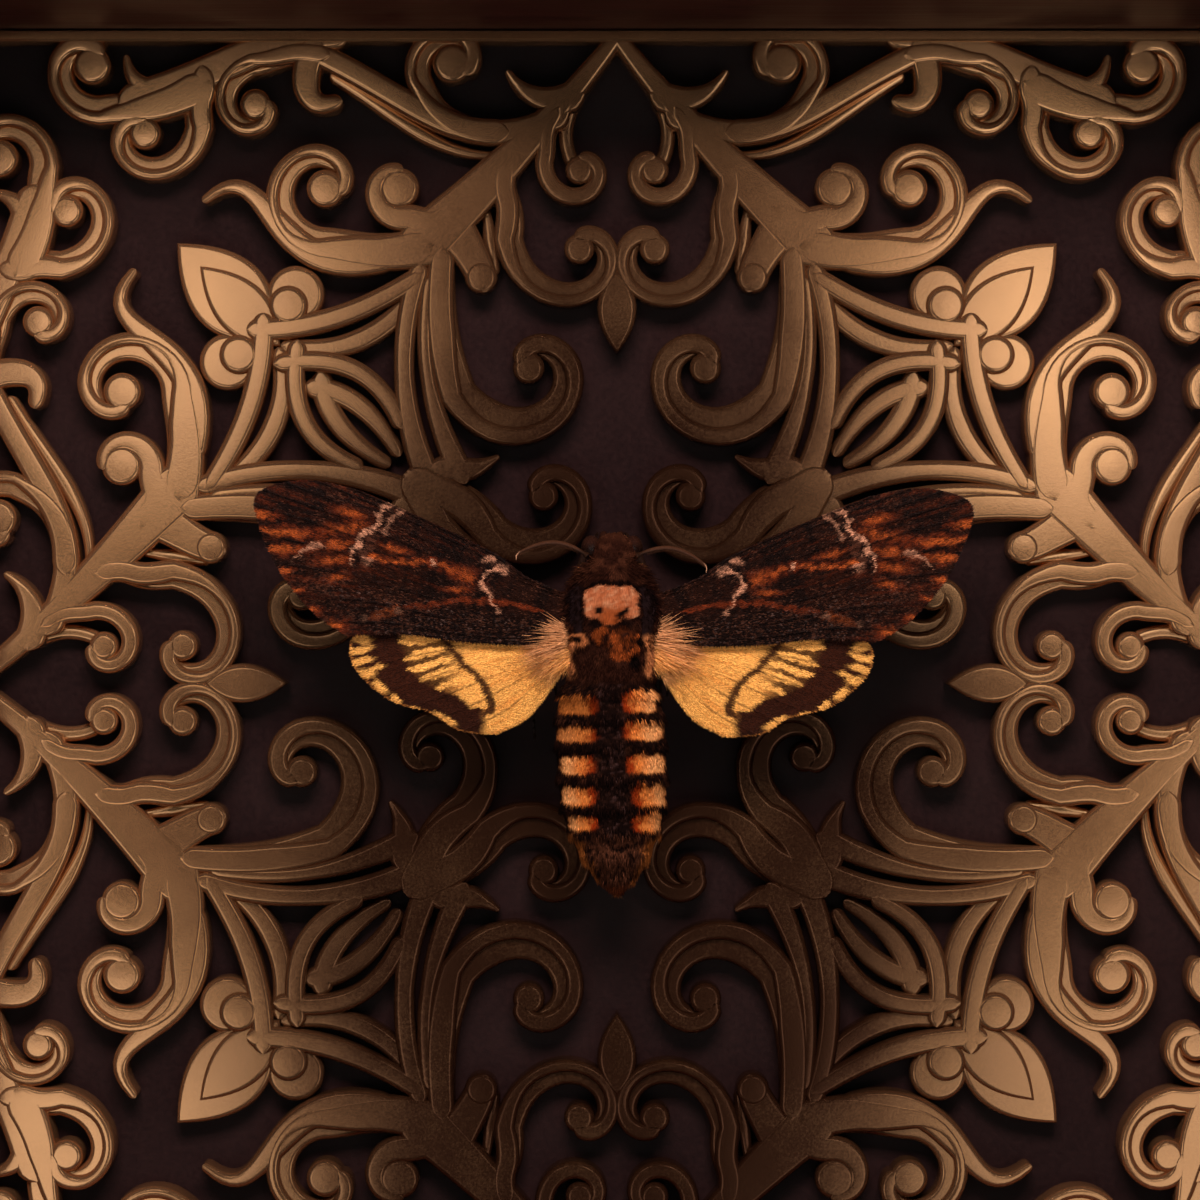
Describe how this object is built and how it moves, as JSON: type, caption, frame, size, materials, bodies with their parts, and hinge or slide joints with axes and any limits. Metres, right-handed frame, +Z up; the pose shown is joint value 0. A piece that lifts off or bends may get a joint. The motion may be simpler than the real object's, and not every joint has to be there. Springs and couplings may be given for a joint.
{
  "type": "mounted hawkmoth in a display case",
  "caption": "Life-size death's-head hawkmoth, wings spread, set in a square open-fronted case over a dark board with a gold scroll-cut panel",
  "frame": {"origin": "middle of the underside of the case, where it stands", "axes": "+Z up towards the moth's head, +X to the right as seen from the front, the open front faces -Y"},
  "size_m": [0.24, 0.052, 0.24],
  "materials": {
    "dark_fur": "dense matte dark brown coat",
    "pale_fur": "dense matte pale buff coat",
    "grey_scales": "matte blue-grey scales",
    "banded_fur": "matte ochre coat with dark bands",
    "forewing_scales": "matte mottled brown scales",
    "hindwing_scales": "matte golden yellow scales with dark bands",
    "eye": "dark, smooth and glossy",
    "feeler": "ringed brown horn with a pale tip",
    "horn": "smooth brown horn",
    "leg_scales": "scaly brown with pale rings",
    "steel": "blackened",
    "foam": "matte black",
    "frame_wood": "near-black, satin",
    "board_paint": "matte dark aubergine paint",
    "scroll_gold": "copper-gold paint with a fine brushed grain"
  },
  "bodies": {
    "root": {"head": "dark_fur", "collar": "dark_fur", "thorax": "dark_fur", "skull_mark": "pale_fur", "proboscis": "horn", "abdomen": "banded_fur", "mount_post": "steel", "mount_block": "foam", "back_board": "board_paint", "scroll_panel": "scroll_gold", "forewing_left": "forewing_scales", "hindwing_left": "hindwing_scales", "tegula_left": "grey_scales", "eye_left": "eye", "antenna_left": "feeler", "palp_left": "dark_fur", "foreleg_left": "leg_scales", "midleg_left": "leg_scales", "hindleg_left": "leg_scales", "forewing_right": "forewing_scales", "hindwing_right": "hindwing_scales", "tegula_right": "grey_scales", "eye_right": "eye", "antenna_right": "feeler", "palp_right": "dark_fur", "foreleg_right": "leg_scales", "midleg_right": "leg_scales", "hindleg_right": "leg_scales", "frame_top": "frame_wood", "frame_right": "frame_wood", "frame_bottom": "frame_wood", "frame_left": "frame_wood"}
  },
  "joints": []
}
